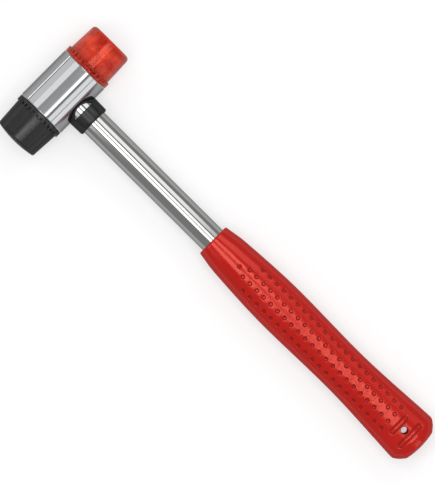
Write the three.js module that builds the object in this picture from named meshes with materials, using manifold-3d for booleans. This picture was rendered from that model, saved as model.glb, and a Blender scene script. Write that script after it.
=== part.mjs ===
// Two-faced dead blow hammer: a shot-filled steel head with a hard red face and a soft black face,
// a tubular steel handle held in a moulded collar, and a dimpled grip. Millimetres.
// The hammer lies on its side: X runs along the head with the red face at +X, Y runs along the
// handle with the head at +Y, and Z is up. The origin is under the middle of the whole hammer.

import * as THREE from 'three';
import { mergeVertices } from 'three/addons/utils/BufferGeometryUtils.js';
import Module from 'manifold-3d';

const wasm = await Module();
wasm.setup();

// Head barrel
const barrelDiameter = 30;
const barrelLength = 33.5;
const barrelEndChamfer = 0.5;
const barrelEndWall = 2.7;
const chamberWall = 4.5;

// Screw-in faces: steps and tapers are measured on the radius
const spigotLength = 6;
const spigotChamfer = 0.6;
const flangeInset = 0.15;
const flangeLength = 3.4;
const notchCount = 32;
const notchWidth = 1.4;
const notchLength = 1.4;
const faceReach = 20.9;
const redNoseStep = 1.1;
const redNoseTaper = 0.7;
const redCornerRadius = 2.2;
const blackNoseStep = 0.85;
const blackNoseTaper = 1;
const blackEdgeRadius = 1;
const blackCrown = 1.4;

// Loose shot and the two discs that keep it in
const discThickness = 1.5;
const discChamfer = 0.3;
const shotDiameter = 4.5;
const shotLayers = 2;

// Handle tube, its plug and the collar
const tubeDiameter = 15.4;
const tubeWall = 1.2;
const tubeShown = 90.6;
const tubeInGrip = 130;
const plugLength = 6;
const collarDiameter = 19.3;
const collarFootDiameter = 18.9;
const collarFootRadius = 1;
const collarHeight = 9;
const windowWidth = 13.8;
const windowHeight = 3;
const windowSill = 0.75;

// Grip: widths are across X, thicknesses across Z, places are measured from the grip's top
const gripLength = 159.4;
const gripTopWidth = 20;
const gripTopThickness = 19.4;
const gripTopRound = 0.8;
const gripNeckPlace = 13;
const gripNeckWidth = 23.8;
const gripNeckThickness = 20.6;
const gripPalmPlace = 53;
const gripPalmWidth = 27.5;
const gripPalmThickness = 22;
const gripWaistPlace = 99;
const gripWaistWidth = 26;
const gripWaistThickness = 20.8;
const gripButtWidth = 30.8;
const gripButtThickness = 22;
const gripRoundness = 2.2;
const buttChamferLength = 5.6;
const buttChamferDepth = 5.4;
const buttCrown = 1.1;

// Grip details
const dimplePitch = 5.27;
const dimpleRows = 23;
const dimpleColumns = 4;
const dimpleFirstPlace = 20.4;
const dimpleDiameter = 2.1;
const dimpleDepth = 0.9;
const hangHoleDiameter = 4.1;
const hangHoleFromEnd = 13.1;
const ribOffset = 4.2;
const ribWidth = 2;
const ribHeight = 0.6;
const upperRibLength = 11;
const lowerRibLength = 15.4;

// Clearances
const seatGap = 0.2;
const saddleGap = 0.15;
const slipGap = 0.2;
const threadGap = 0.3;
const discGap = 0.3;
const shotGap = 0.3;
const joinOverlap = 0.2;

// Facets
const roundSides = 36;
const curveSteps = 4;
const arcSides = 12;
const gripFlankSteps = 3;
const gripBroadShare = 0.8;
const dimpleSides = 6;
const shotDetail = 1;

// Sizes that follow
const barrelRadius = barrelDiameter / 2;
const barrelHalf = barrelLength / 2;
const chamberDiameter = barrelDiameter - 2 * chamberWall;
const chamberRadius = chamberDiameter / 2;
const spigotDiameter = barrelDiameter - 2 * (barrelEndWall + threadGap);
const spigotRadius = spigotDiameter / 2;
const threadBoreRadius = spigotRadius + threadGap;
const flangeDiameter = barrelDiameter - 2 * flangeInset;
const flangeRadius = flangeDiameter / 2;
const redNoseBaseDiameter = flangeDiameter - 2 * redNoseStep;
const redNoseTipDiameter = redNoseBaseDiameter - 2 * redNoseTaper;
const blackNoseBaseDiameter = flangeDiameter - 2 * blackNoseStep;
const blackNoseTipDiameter = blackNoseBaseDiameter - 2 * blackNoseTaper;
const faceSeat = barrelHalf + seatGap;
const discOuterFace = faceSeat - spigotLength - discGap;
const discInnerFace = discOuterFace - discThickness;
const chamberShoulder = discInnerFace - discGap;
const tubeRadius = tubeDiameter / 2;
const tubeBoreRadius = tubeRadius - tubeWall;
const collarRadius = collarDiameter / 2;
const collarEnd = barrelRadius + collarHeight;
const gripTop = collarEnd + tubeShown;
const gripEnd = gripTop + gripLength;
const tubeEnd = gripTop + tubeInGrip;
const buttShoulder = gripLength - buttChamferLength - buttCrown;
const overallLength = barrelRadius + gripEnd;
const headAxisY = overallLength / 2 - barrelRadius;

const hammer = new THREE.Group();
hammer.position.set(0, headAxisY, barrelRadius);

function finish(color, roughness, metalness) {
  return new THREE.MeshStandardMaterial({ color, roughness, metalness });
}

function addPiece(name, geometry, material) {
  const piece = new THREE.Mesh(geometry, material);
  piece.name = name;
  hammer.add(piece);
  return piece;
}

// One closed skin: shared corners are merged and triangles that shrank to a line are left out.
function weld(geometry) {
  const bare = new THREE.BufferGeometry();
  bare.setAttribute('position', geometry.getAttribute('position'));
  bare.setIndex(geometry.getIndex());
  const merged = mergeVertices(bare);
  const corners = merged.getIndex().array;
  const kept = [];
  for (let i = 0; i < corners.length; i += 3) {
    const [a, b, c] = corners.subarray(i, i + 3);
    if (a !== b && b !== c && c !== a) kept.push(a, b, c);
  }
  merged.setIndex(kept);
  return merged;
}

function solid(geometry) {
  const skin = weld(geometry);
  return new wasm.Manifold(new wasm.Mesh({
    numProp: 3,
    vertProperties: new Float32Array(skin.getAttribute('position').array),
    triVerts: new Uint32Array(skin.getIndex().array),
  }));
}

function skinOf(body) {
  const mesh = body.getMesh();
  const geometry = new THREE.BufferGeometry();
  geometry.setAttribute('position', new THREE.BufferAttribute(mesh.vertProperties, 3));
  geometry.setIndex(new THREE.BufferAttribute(mesh.triVerts, 1));
  geometry.computeVertexNormals();
  return geometry;
}

function joined(bodies) {
  return bodies.reduce((sum, body) => sum.add(body));
}

// A profile of (radius, place) turned about the Y axis, or about the X axis.
function turnedAboutY(profile) {
  return weld(new THREE.LatheGeometry(profile, roundSides));
}

function turnedAboutX(profile) {
  return turnedAboutY(profile).rotateZ(-Math.PI / 2);
}

function ring(innerRadius, outerRadius, from, to) {
  return [
    new THREE.Vector2(innerRadius, from),
    new THREE.Vector2(outerRadius, from),
    new THREE.Vector2(outerRadius, to),
    new THREE.Vector2(innerRadius, to),
    new THREE.Vector2(innerRadius, from),
  ];
}

function rodAlongX(radius, length) {
  return new THREE.CylinderGeometry(radius, radius, length, roundSides).rotateZ(-Math.PI / 2);
}

function rodAlongY(radius, from, to) {
  const rod = new THREE.CylinderGeometry(radius, radius, to - from, roundSides);
  return rod.translate(0, (from + to) / 2, 0);
}

// Barrel: a turned tube, wider at both ends for the screwed spigots, with a hole for the handle.
function headBarrel() {
  const corner = barrelRadius - barrelEndChamfer;
  const profile = [
    new THREE.Vector2(threadBoreRadius, -barrelHalf),
    new THREE.Vector2(corner, -barrelHalf),
    new THREE.Vector2(barrelRadius, -barrelHalf + barrelEndChamfer),
    new THREE.Vector2(barrelRadius, barrelHalf - barrelEndChamfer),
    new THREE.Vector2(corner, barrelHalf),
    new THREE.Vector2(threadBoreRadius, barrelHalf),
    new THREE.Vector2(threadBoreRadius, chamberShoulder),
    new THREE.Vector2(chamberRadius, chamberShoulder),
    new THREE.Vector2(chamberRadius, -chamberShoulder),
    new THREE.Vector2(threadBoreRadius, -chamberShoulder),
    new THREE.Vector2(threadBoreRadius, -barrelHalf),
  ];
  const tubeHole = solid(rodAlongY(tubeRadius + slipGap, -barrelDiameter, 0));
  return skinOf(solid(turnedAboutX(profile)).subtract(tubeHole));
}

// Flange ring with notches all round, as wide as the flange and open towards the nose.
function notchedRing(noseRadius) {
  const outline = new THREE.Shape();
  const halfNotch = notchWidth / 2 / flangeRadius;
  const pitch = 2 * Math.PI / notchCount;
  for (let i = 0; i < notchCount; i += 1) {
    const middle = i * pitch;
    const turns = [middle - halfNotch, middle + halfNotch, middle + pitch - halfNotch];
    const root = noseRadius - joinOverlap;
    if (i === 0) outline.moveTo(root * Math.cos(turns[0]), root * Math.sin(turns[0]));
    outline.lineTo(root * Math.cos(turns[1]), root * Math.sin(turns[1]));
    outline.lineTo(flangeRadius * Math.cos(turns[1]), flangeRadius * Math.sin(turns[1]));
    outline.lineTo(flangeRadius * Math.cos(turns[2]), flangeRadius * Math.sin(turns[2]));
    if (i < notchCount - 1) outline.lineTo(root * Math.cos(turns[2]), root * Math.sin(turns[2]));
  }
  const overlap = (flangeLength - notchLength) / 2;
  const slab = new THREE.ExtrudeGeometry(outline, { depth: notchLength + overlap, bevelEnabled: false });
  return slab.rotateY(Math.PI / 2).translate(flangeLength - notchLength - overlap, 0, 0);
}

// Striking face: spigot, flange and nose in one moulding. The end is drawn by the caller.
function strikingFace(noseBaseDiameter, noseTipDiameter, drawEnd) {
  const noseRadius = noseBaseDiameter / 2;
  const flangeStep = flangeLength - notchLength;
  const profile = new THREE.Path();
  profile.moveTo(0, -spigotLength);
  profile.lineTo(spigotRadius - spigotChamfer, -spigotLength);
  profile.lineTo(spigotRadius, spigotChamfer - spigotLength);
  profile.lineTo(spigotRadius, 0);
  profile.lineTo(flangeRadius, 0);
  profile.lineTo(flangeRadius, flangeStep);
  profile.lineTo(noseRadius, flangeStep);
  drawEnd(profile, noseTipDiameter / 2);
  const body = solid(turnedAboutX(profile.getPoints(curveSteps)));
  return skinOf(body.add(solid(notchedRing(noseRadius))));
}

function drawFlatEnd(profile, tipRadius) {
  profile.lineTo(tipRadius, faceReach - redCornerRadius);
  profile.quadraticCurveTo(tipRadius, faceReach, tipRadius - redCornerRadius, faceReach);
  profile.lineTo(0, faceReach);
}

function drawCrownedEnd(profile, tipRadius) {
  const edge = faceReach - blackCrown;
  profile.lineTo(tipRadius, edge - blackEdgeRadius);
  profile.quadraticCurveTo(tipRadius, edge, tipRadius - blackEdgeRadius, edge);
  profile.quadraticCurveTo(tipRadius / 2, faceReach, 0, faceReach);
}

// Disc between a spigot and the shoulder in the barrel, which keeps the shot in its chamber.
function shotDisc() {
  const half = discThickness / 2;
  return turnedAboutX([
    new THREE.Vector2(0, -half),
    new THREE.Vector2(spigotRadius - discChamfer, -half),
    new THREE.Vector2(spigotRadius, discChamfer - half),
    new THREE.Vector2(spigotRadius, half - discChamfer),
    new THREE.Vector2(spigotRadius - discChamfer, half),
    new THREE.Vector2(0, half),
  ]);
}

// Places of the shot: rings round the head axis, in layers along it.
function shotPlaces() {
  const pitch = shotDiameter + shotGap;
  const places = [];
  for (let layer = 0; layer < shotLayers; layer += 1) {
    const x = (layer - (shotLayers - 1) / 2) * pitch;
    for (let radius = chamberRadius - pitch / 2 - shotGap; radius > 0; radius -= pitch) {
      const alone = radius < pitch / 2;
      const count = alone ? 1 : Math.floor(Math.PI / Math.asin(pitch / 2 / radius));
      for (let i = 0; i < count; i += 1) {
        const turn = 2 * Math.PI * i / count;
        const reach = alone ? 0 : radius;
        places.push(new THREE.Vector3(x, reach * Math.cos(turn), reach * Math.sin(turn)));
      }
    }
  }
  return places;
}

// Place along the handle where a round of this radius about Y meets a round about X.
function meetingPlace(radius, crossRadius) {
  return Math.sqrt(crossRadius * crossRadius - radius * radius);
}

// Handle tube: its head end is coped to the chamber, so that nothing stands into the shot's way.
function handleTube() {
  const start = meetingPlace(tubeRadius, chamberRadius) - tubeWall;
  const tube = solid(turnedAboutY(ring(tubeBoreRadius, tubeRadius, -tubeEnd, -start)));
  return skinOf(tube.subtract(solid(rodAlongX(chamberRadius, barrelLength))));
}

function tubePlug() {
  const radius = tubeBoreRadius - slipGap;
  const start = meetingPlace(radius, chamberRadius) - tubeWall;
  const plug = solid(rodAlongY(radius, -chamberRadius - plugLength, -start));
  return skinOf(plug.subtract(solid(rodAlongX(chamberRadius, barrelLength))));
}

// Collar: a ferrule with a saddle that fits the barrel and a crescent window on both sides.
function collar() {
  const boreRadius = tubeRadius + slipGap;
  const footRadius = collarFootDiameter / 2;
  const saddleTop = meetingPlace(collarRadius, barrelRadius) - collarFootRadius;
  const profile = new THREE.Path();
  profile.moveTo(boreRadius, -collarEnd);
  profile.lineTo(footRadius - collarFootRadius, -collarEnd);
  profile.quadraticCurveTo(footRadius, -collarEnd, footRadius, collarFootRadius - collarEnd);
  profile.lineTo(collarRadius, -barrelRadius);
  profile.lineTo(collarRadius, -saddleTop);
  profile.lineTo(boreRadius, -saddleTop);
  profile.lineTo(boreRadius, -collarEnd);
  const ferrule = solid(turnedAboutY(profile.getPoints(curveSteps)));
  const saddle = solid(rodAlongX(barrelRadius + saddleGap, 2 * collarDiameter));
  return skinOf(ferrule.subtract(saddle).subtract(solid(crescentThroughZ())));
}

// Crescent of the collar's window: a straight sill and an arc above it, pushed through along Z.
function crescentThroughZ() {
  const halfWidth = windowWidth / 2;
  const arcRadius = (halfWidth * halfWidth + windowHeight * windowHeight) / (2 * windowHeight);
  const sill = -barrelRadius - windowSill;
  const arcCentre = sill + windowHeight - arcRadius;
  const halfTurn = Math.asin(halfWidth / arcRadius);
  const crescent = new THREE.Shape();
  crescent.absarc(0, arcCentre, arcRadius, Math.PI / 2 - halfTurn, Math.PI / 2 + halfTurn, false);
  const depth = 2 * collarDiameter;
  const bar = new THREE.ExtrudeGeometry(crescent, { depth, bevelEnabled: false, curveSegments: arcSides });
  return bar.translate(0, 0, -depth / 2);
}

// Smooth curve through [place, value] pairs that never swings past a pair, read at one place.
function curveThrough(pairs, place) {
  const last = pairs.length - 1;
  const rise = (k) => (pairs[k + 1][1] - pairs[k][1]) / (pairs[k + 1][0] - pairs[k][0]);
  const slope = (k) => {
    if (k === 0) return rise(0);
    if (k === last) return rise(last - 1);
    const before = rise(k - 1);
    const after = rise(k);
    return before * after <= 0 ? 0 : 2 * before * after / (before + after);
  };
  let k = 0;
  while (k < last - 1 && place > pairs[k + 1][0]) k += 1;
  const span = pairs[k + 1][0] - pairs[k][0];
  const t = (place - pairs[k][0]) / span;
  const towards = t * t * (3 - 2 * t);
  const leave = t * (1 - t) * (1 - t) * span * slope(k);
  const arrive = t * t * (t - 1) * span * slope(k + 1);
  return pairs[k][1] * (1 - towards) + pairs[k + 1][1] * towards + leave + arrive;
}

const gripWidths = [
  [0, gripTopWidth],
  [gripNeckPlace, gripNeckWidth],
  [gripPalmPlace, gripPalmWidth],
  [gripWaistPlace, gripWaistWidth],
  [buttShoulder, gripButtWidth],
];
const gripThicknesses = [
  [0, gripTopThickness],
  [gripNeckPlace, gripNeckThickness],
  [gripPalmPlace, gripPalmThickness],
  [gripWaistPlace, gripWaistThickness],
  [buttShoulder, gripButtThickness],
];

function gripSectionAt(place) {
  return {
    place,
    halfWidth: curveThrough(gripWidths, place) / 2,
    halfThickness: curveThrough(gripThicknesses, place) / 2,
  };
}

function shrunk(section, place, byWidth, byThickness) {
  return {
    place,
    halfWidth: section.halfWidth - byWidth,
    halfThickness: section.halfThickness - byThickness,
  };
}

// Places of the sections: they run between the dimple rows, so that each dimple lies in one facet.
function gripPlaces() {
  const firstLine = dimpleFirstPlace - dimplePitch / 2;
  const lastLine = firstLine + dimpleRows * dimplePitch;
  const places = [];
  for (let i = 0; i < curveSteps; i += 1) {
    places.push(gripTopRound + (i / curveSteps) * (firstLine - gripTopRound));
  }
  for (let row = 0; row <= dimpleRows; row += 1) places.push(firstLine + row * dimplePitch);
  for (let i = 1; i <= gripFlankSteps; i += 1) {
    places.push(lastLine + (i / gripFlankSteps) * (buttShoulder - lastLine));
  }
  return places;
}

// Sections of the grip from its rounded top to the chamfered and slightly crowned butt.
function gripSections() {
  const roundMiddle = gripTopRound * (1 - Math.SQRT1_2);
  const top = gripSectionAt(0);
  const shoulder = gripSectionAt(buttShoulder);
  const sections = [
    shrunk(top, 0, gripTopRound, gripTopRound),
    shrunk(top, roundMiddle, roundMiddle, roundMiddle),
    ...gripPlaces().map(gripSectionAt),
  ];
  for (let i = 1; i <= curveSteps; i += 1) {
    const share = i / curveSteps;
    const rounding = 1 - Math.sqrt(1 - share * share);
    const place = buttShoulder + share * buttChamferLength;
    sections.push(shrunk(shoulder, place, share * buttChamferDepth, rounding * buttChamferDepth / 2));
  }
  const chamfered = sections[sections.length - 1];
  for (let i = 1; i < curveSteps; i += 1) {
    const left = 1 - i / curveSteps;
    const place = gripLength - buttCrown * left * left;
    const byWidth = chamfered.halfWidth * (1 - left);
    sections.push(shrunk(chamfered, place, byWidth, chamfered.halfThickness * (1 - left)));
  }
  return sections;
}

// Turns round a section, from +Z towards +X. On the two broad sides the corners run beside the
// dimple columns, drawn together where the grip is narrower than at its first dimple.
function sectionTurns(halfWidth) {
  const dimpledHalfWidth = gripSectionAt(dimpleFirstPlace).halfWidth;
  const drawnIn = Math.min(1, halfWidth / dimpledHalfWidth);
  const broadSide = gripBroadShare * dimpledHalfWidth;
  const quarter = [];
  for (let x = dimplePitch / 4; x < broadSide; x += dimplePitch / 2) {
    quarter.push(Math.asin((x * drawnIn / halfWidth) ** (gripRoundness / 2)));
  }
  const flank = quarter[quarter.length - 1];
  for (let i = 1; i < gripFlankSteps; i += 1) {
    quarter.push(flank + (i / gripFlankSteps) * (Math.PI / 2 - flank));
  }
  const mirrored = quarter.map((turn) => Math.PI - turn).reverse();
  const half = [...quarter, Math.PI / 2, ...mirrored];
  return [...half, ...half.map((turn) => turn + Math.PI)];
}

function ovalPoint(turn) {
  const across = Math.sign(Math.sin(turn)) * Math.abs(Math.sin(turn)) ** (2 / gripRoundness);
  const up = Math.sign(Math.cos(turn)) * Math.abs(Math.cos(turn)) ** (2 / gripRoundness);
  return [across, up];
}

// Loft over the grip's sections, moved outwards by a margin, with a pole at each end.
function gripLoft(margin) {
  const sections = gripSections();
  const points = [0, -gripTop, 0];
  for (const section of sections) {
    for (const turn of sectionTurns(section.halfWidth)) {
      const [across, up] = ovalPoint(turn);
      const x = (section.halfWidth + margin) * across;
      const z = (section.halfThickness + margin) * up;
      points.push(x, -gripTop - section.place, z);
    }
  }
  points.push(0, -gripEnd, 0);
  const endPole = points.length / 3 - 1;
  const sides = (endPole - 1) / sections.length;
  const lastRow = endPole - sides;
  const corners = [];
  for (let i = 0; i < sides; i += 1) {
    const next = (i + 1) % sides;
    corners.push(0, 1 + i, 1 + next);
    for (let row = 0; row < sections.length - 1; row += 1) {
      const here = 1 + row * sides;
      const below = here + sides;
      corners.push(here + i, below + i, here + next, here + next, below + i, below + next);
    }
    corners.push(endPole, lastRow + next, lastRow + i);
  }
  const loft = new THREE.BufferGeometry();
  loft.setAttribute('position', new THREE.Float32BufferAttribute(points, 3));
  loft.setIndex(corners);
  return loft;
}

// Height of the grip's skin over its middle plane.
function gripHeightAt(x, place) {
  const section = gripSectionAt(place);
  const share = Math.abs(x) / section.halfWidth;
  return section.halfThickness * (1 - share ** gripRoundness) ** (1 / gripRoundness);
}

// Dimple places: a single one at the top, then two, then all columns, on a square pitch.
function dimplePlaces() {
  const places = [];
  for (let row = 0; row < dimpleRows; row += 1) {
    const place = dimpleFirstPlace + row * dimplePitch;
    const count = row === 0 ? 1 : Math.min(2 * row, dimpleColumns);
    for (let i = 0; i < count; i += 1) {
      places.push({ x: (i - (count - 1) / 2) * dimplePitch, place });
    }
  }
  return places;
}

// Pointed pin that presses one dimple, standing out past the skin by as much as it goes in.
function dimplePin(x, place, side) {
  const pin = new THREE.ConeGeometry(dimpleDiameter, 2 * dimpleDepth, dimpleSides);
  pin.rotateX(-Math.PI / 2);
  pin.translate(0, 0, gripHeightAt(x, place));
  if (side < 0) pin.rotateX(Math.PI);
  return pin.translate(x, -gripTop - place, 0);
}

// Rib bar with round ends, taller than the grip, which the loft's margin cuts to its height.
function ribBar(length, place) {
  const radius = ribWidth / 2;
  const reach = length / 2 - radius;
  const outline = new THREE.Shape();
  outline.absarc(reach, 0, radius, -Math.PI / 2, Math.PI / 2, false);
  outline.absarc(-reach, 0, radius, Math.PI / 2, 3 * Math.PI / 2, false);
  const depth = 2 * gripButtThickness;
  const bar = new THREE.ExtrudeGeometry(outline, { depth, bevelEnabled: false, curveSegments: arcSides / 2 });
  return bar.translate(0, -gripTop - place, -depth / 2);
}

// Grip: an oval sleeve with a blind bore for the tube, a solid butt with a hang hole between two
// ribs, and dimples on both sides.
function grip() {
  const holePlace = gripLength - hangHoleFromEnd;
  const ribs = joined([
    solid(ribBar(upperRibLength, holePlace - ribOffset)),
    solid(ribBar(lowerRibLength, holePlace + ribOffset)),
  ]);
  const holeLength = 2 * gripButtThickness;
  const holeRadius = hangHoleDiameter / 2;
  const hole = new THREE.CylinderGeometry(holeRadius, holeRadius, holeLength, roundSides / 2);
  hole.rotateX(Math.PI / 2).translate(0, -gripTop - holePlace, 0);
  const bore = rodAlongY(tubeRadius + slipGap, -tubeEnd - seatGap, -gripTop + tubeDiameter);
  const pins = dimplePlaces().flatMap(({ x, place }) => [1, -1].map((side) => dimplePin(x, place, side)));
  const sleeve = solid(gripLoft(0)).add(solid(gripLoft(ribHeight)).intersect(ribs));
  const cuts = joined([solid(hole), solid(bore), ...pins.map(solid)]);
  return skinOf(sleeve.subtract(cuts));
}

addPiece('head_barrel', headBarrel(), finish('#8f9294', 0.35, 1));

const redFace = strikingFace(redNoseBaseDiameter, redNoseTipDiameter, drawFlatEnd);
addPiece('red_face', redFace, finish('#c8201a', 0.15, 0)).position.x = faceSeat;

const blackFace = strikingFace(blackNoseBaseDiameter, blackNoseTipDiameter, drawCrownedEnd);
const blackPiece = addPiece('black_face', blackFace, finish('#2b2b2c', 0.6, 0));
blackPiece.rotation.y = Math.PI;
blackPiece.position.x = -faceSeat;

const discMiddle = (discInnerFace + discOuterFace) / 2;
addPiece('red_shot_disc', shotDisc(), finish('#a3a5a6', 0.4, 1)).position.x = discMiddle;
addPiece('black_shot_disc', shotDisc(), finish('#a3a5a6', 0.4, 1)).position.x = -discMiddle;

shotPlaces().forEach((place, i) => {
  const ball = weld(new THREE.IcosahedronGeometry(shotDiameter / 2, shotDetail));
  const name = `shot_${String(i + 1).padStart(2, '0')}`;
  addPiece(name, ball, finish('#8a8c8e', 0.3, 1)).position.copy(place);
});

addPiece('handle_tube', handleTube(), finish('#c9cbcc', 0.12, 1));
addPiece('tube_plug', tubePlug(), finish('#303234', 0.6, 0));
addPiece('collar', collar(), finish('#232425', 0.45, 0));
addPiece('grip', grip(), finish('#c02a24', 0.4, 0));

export default hammer;
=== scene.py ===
import bpy
import bmesh
from math import asin, atan2, cos, pi, radians, sin, sqrt, tan
from mathutils import Matrix, Vector


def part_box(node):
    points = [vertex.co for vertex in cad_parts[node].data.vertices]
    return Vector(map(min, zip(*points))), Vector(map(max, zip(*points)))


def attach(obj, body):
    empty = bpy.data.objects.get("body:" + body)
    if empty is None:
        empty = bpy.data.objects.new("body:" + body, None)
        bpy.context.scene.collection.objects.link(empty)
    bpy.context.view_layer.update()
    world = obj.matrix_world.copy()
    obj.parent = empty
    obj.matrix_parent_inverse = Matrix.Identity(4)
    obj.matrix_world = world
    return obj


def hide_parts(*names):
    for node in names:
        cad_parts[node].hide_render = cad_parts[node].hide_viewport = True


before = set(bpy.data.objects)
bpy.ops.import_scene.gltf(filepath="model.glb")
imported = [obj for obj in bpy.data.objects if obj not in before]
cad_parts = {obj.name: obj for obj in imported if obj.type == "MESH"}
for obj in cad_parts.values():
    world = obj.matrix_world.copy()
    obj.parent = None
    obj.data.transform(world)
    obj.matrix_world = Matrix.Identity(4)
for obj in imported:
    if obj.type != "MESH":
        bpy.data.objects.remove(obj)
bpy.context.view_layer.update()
print("frame loaded,", len(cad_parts), "nodes")

scene = bpy.context.scene
scene.view_settings.view_transform = "Standard"

# meshes are drawn in millimetres about the head axis: +X red face, -Y butt, +Z up
millimetre = 0.001
headLow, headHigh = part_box("head_barrel")
hammerFrame = Matrix.Translation((headLow + headHigh) / 2) @ Matrix.Scale(millimetre, 4)


# drawing helpers

def clamped(value):
    return min(1, max(0, value))


def eased(share):
    return share * share * (3 - 2 * share)


def between(start, end, parts):
    # the stations inside a stretch cut into equal parts
    return [start + (end - start) * k / parts for k in range(1, parts)]


def rawMesh(name, verts, faces):
    mesh = bpy.data.meshes.new(name)
    mesh.from_pydata([tuple(v) for v in verts], [], faces)
    return mesh


def makeMesh(name, verts, faces, weld=0.002, marks=None):
    # welded mesh with its normals outward; marks are lists of one value for each point
    mesh = rawMesh(name, verts, faces)
    for label, values in (marks or {}).items():
        mesh.attributes.new(label, "FLOAT", "POINT").data.foreach_set("value", values)
    work = bmesh.new()
    work.from_mesh(mesh)
    bmesh.ops.remove_doubles(work, verts=work.verts, dist=weld)
    bmesh.ops.delete(work, geom=[v for v in work.verts if not v.link_faces], context="VERTS")
    bmesh.ops.recalc_face_normals(work, faces=work.faces)
    openEdges = sum(1 for e in work.edges if not e.is_manifold)
    print(name, "drawn,", len(work.verts), "points,", openEdges, "open edges")
    work.to_mesh(mesh)
    work.free()
    return mesh


def addObject(name, data):
    piece = bpy.data.objects.new(name, data)
    scene.collection.objects.link(piece)
    return piece


def baked(piece):
    # mesh as its modifiers leave it
    graph = bpy.context.evaluated_depsgraph_get()
    mesh = bpy.data.meshes.new_from_object(piece.evaluated_get(graph), depsgraph=graph)
    bpy.data.objects.remove(piece)
    return mesh


def runNodes(mesh, tree, values):
    piece = addObject("work", mesh)
    modifier = piece.modifiers.new("nodes", "NODES")
    modifier.node_group = tree
    for item in tree.interface.items_tree:
        if item.in_out == "INPUT" and item.name in values:
            modifier[item.identifier] = values[item.name]
    return baked(piece)


def cutBy(mesh, cutter):
    piece, knife = addObject("work", mesh), addObject("knife", cutter)
    modifier = piece.modifiers.new("cut", "BOOLEAN")
    modifier.operation, modifier.object, modifier.solver = "DIFFERENCE", knife, "EXACT"
    result = baked(piece)
    bpy.data.objects.remove(knife)
    return result


def setOnSide(mesh, side, place):
    # a piece drawn for the +X end of the head goes to its own end
    if side < 0:
        mesh.transform(Matrix.Rotation(pi, 4, "Z"))
    mesh.transform(Matrix.Translation((side * place, 0, 0)))


def settle(name, mesh, finish, body, slot, *nodes, sharp=35):
    mesh.transform(hammerFrame)
    mesh.materials.clear()
    mesh.materials.append(finish)
    mesh.shade_smooth()
    mesh.set_sharp_from_angle(angle=radians(sharp))
    piece = addObject(name, mesh)
    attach(piece, body)
    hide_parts(*nodes)
    print(name, "placed,", len(mesh.polygons), "faces")
    return piece


def filleted(corners, closed=False, steps=5, guard=0.06, most=0.45):
    # (place, radius, fillet) corners to a profile with round corners, each arc held by a point beside it
    points = []
    count = len(corners)
    for k, (place, radius, fillet) in enumerate(corners):
        here = Vector((place, radius))
        if not fillet or (not closed and k in (0, count - 1)):
            points.append(here)
            continue
        back = Vector(corners[k - 1][:2]) - here
        ahead = Vector(corners[(k + 1) % count][:2]) - here
        half = back.angle(ahead) / 2
        reach = min(fillet / tan(half), most * back.length, most * ahead.length)
        back.normalize()
        ahead.normalize()
        centre = here + (back + ahead).normalized() * reach / cos(half)
        spoke = here + back * reach - centre
        sweep = spoke.angle_signed(here + ahead * reach - centre)
        points.append(here + back * (reach + guard))
        for i in range(steps + 1):
            points.append(centre + Matrix.Rotation(-sweep * i / steps, 2) @ spoke)
        points.append(here + ahead * (reach + guard))
    return [tuple(p) for p in points]


def evenTurns(count):
    return [2 * pi * i / count for i in range(count)]


def turned(profile, turns, axis="X", closed=False, onAxis=1e-6):
    # profile of (place, radius) spun about the head axis (X) or the handle axis (Y)
    verts, faces, rings = [], [], []
    count = len(turns)
    for place, radius in profile:
        if radius < onAxis:
            rings.append([len(verts)] * count)
            verts.append((place, 0, 0) if axis == "X" else (0, place, 0))
            continue
        rings.append(list(range(len(verts), len(verts) + count)))
        for turn in turns:
            a, b = radius * sin(turn), radius * cos(turn)
            verts.append((place, a, b) if axis == "X" else (a, place, b))
    pairs = list(zip(rings, rings[1:])) + ([(rings[-1], rings[0])] if closed else [])
    for one, two in pairs:
        for i in range(count):
            j = (i + 1) % count
            corners = [one[i], one[j], two[j], two[i]]
            faces.append(list(dict.fromkeys(corners)))
    return verts, faces


def stackFaces(starts, count):
    # quads from ring to ring of count points, given where each ring starts
    faces = []
    for one, two in zip(starts, starts[1:]):
        faces += [[one + i, one + (i + 1) % count, two + (i + 1) % count, two + i] for i in range(count)]
    return faces


# node helpers

def newTree(name, kind, inputs, outputs):
    # sockets are given as label and default value, or as label and kind where there is no default
    tree = bpy.data.node_groups.new(name, kind)
    kinds = {float: "Float", int: "Int", tuple: "Vector"}
    for label, value in inputs.items():
        sort = value if isinstance(value, str) else kinds[type(value)]
        socket = tree.interface.new_socket(name=label, in_out="INPUT", socket_type="NodeSocket" + sort)
        if not isinstance(value, str):
            socket.default_value = value
    for label, sort in outputs.items():
        tree.interface.new_socket(name=label, in_out="OUTPUT", socket_type="NodeSocket" + sort)
    return tree, tree.nodes.new("NodeGroupInput").outputs, tree.nodes.new("NodeGroupOutput").inputs


def put(tree, kind, inputs=None, out=0, **settings):
    # one node, its settings and what feeds it; hands back an output
    node = tree.nodes.new(kind)
    for name, value in settings.items():
        setattr(node, name, value)
    for key, value in (inputs or {}).items():
        if isinstance(value, bpy.types.NodeSocket):
            tree.links.new(value, node.inputs[key])
        else:
            node.inputs[key].default_value = value
    return node if out is None else node.outputs[out]


def calc(tree, operation, *values):
    return put(tree, "ShaderNodeMath", dict(enumerate(values)), operation=operation)


def product(tree, *values):
    result = values[0]
    for value in values[1:]:
        result = calc(tree, "MULTIPLY", result, value)
    return result


def ramp(tree, value, low, high, start=0.0, end=1.0):
    # smooth step of a value from low..high to start..end
    inputs = {"Value": value, "From Min": low, "From Max": high, "To Min": start, "To Max": end}
    return put(tree, "ShaderNodeMapRange", inputs, interpolation_type="SMOOTHSTEP")


def mixColour(tree, share, one, two):
    # a Mix node keeps its colours in sockets 6 and 7, and puts the mixed one out at 2
    return put(tree, "ShaderNodeMix", {0: share, 6: one, 7: two}, out=2, data_type="RGBA")


# finishes

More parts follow.
